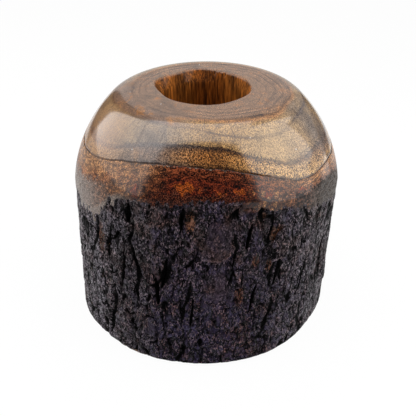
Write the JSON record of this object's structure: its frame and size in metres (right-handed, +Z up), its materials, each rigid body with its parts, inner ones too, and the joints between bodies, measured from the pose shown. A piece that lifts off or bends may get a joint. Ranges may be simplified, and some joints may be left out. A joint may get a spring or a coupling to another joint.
{
  "type": "tealight candle holder",
  "caption": "Short upright log turned to a smooth domed top with a drilled tealight socket; rough bark is left on the sides below the dome.",
  "frame": {"origin": "on the turning axis, on the sawn base that the object rests on", "axes": "+Z up along the turning axis and the drilled socket; -Y is the front, +X the right of the front"},
  "size_m": [0.1297, 0.1233, 0.115],
  "materials": {
    "wood": "clear gloss lacquer",
    "inner_bark": "clear gloss lacquer",
    "outer_bark": "rough, lightly sealed",
    "bark_scale": "rough, lightly sealed"
  },
  "bodies": {
    "root": {"wood_body": "wood", "inner_bark": "inner_bark", "outer_bark": "outer_bark", "front_scale": "bark_scale", "front_low_scale": "bark_scale", "front_base_scale": "bark_scale", "right_scale": "bark_scale", "right_edge_scale": "bark_scale", "left_curl_scale": "bark_scale", "left_base_scale": "bark_scale", "right_back_scale": "bark_scale", "back_right_scale": "bark_scale", "back_scale": "bark_scale", "back_left_scale": "bark_scale", "left_back_scale": "bark_scale"}
  },
  "joints": []
}
